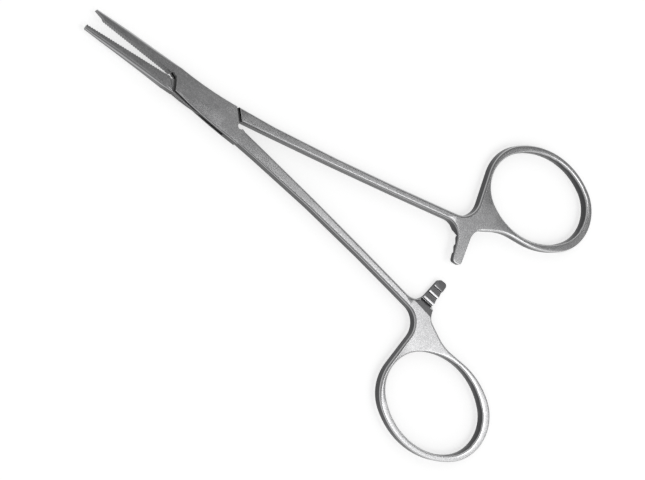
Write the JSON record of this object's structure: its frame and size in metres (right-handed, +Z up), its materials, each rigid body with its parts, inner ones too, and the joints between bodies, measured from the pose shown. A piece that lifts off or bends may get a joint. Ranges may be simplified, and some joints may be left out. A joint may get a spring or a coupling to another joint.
{
  "type": "hemostat forceps",
  "caption": "Slim straight locking clamp with a slotted box joint, cross-serrated tapering jaws, long bowed shanks, finger rings and a toothed ratchet between the rings.",
  "frame": {"origin": "the pivot pin's axis at the underside of the box joint, where the instrument rests on the table", "axes": "+X from the jaws to the finger rings, midway between the two halves; +Z up through the thickness; the box half's ring is on the -Y side"},
  "size_m": [0.1248, 0.0782, 0.0028],
  "materials": {
    "satin_steel": "satin"
  },
  "bodies": {
    "box_body": {"box_half": "satin_steel", "pivot_pin": "satin_steel"},
    "tenon_body": {"tenon_half": "satin_steel"}
  },
  "joints": [
    {"name": "box_joint", "type": "hinge", "parent": "box_body", "child": "tenon_body", "pos_m": [0, 0, 0], "axis": [0, 0, 1], "range_deg": [-5.4, 74.5]}
  ]
}
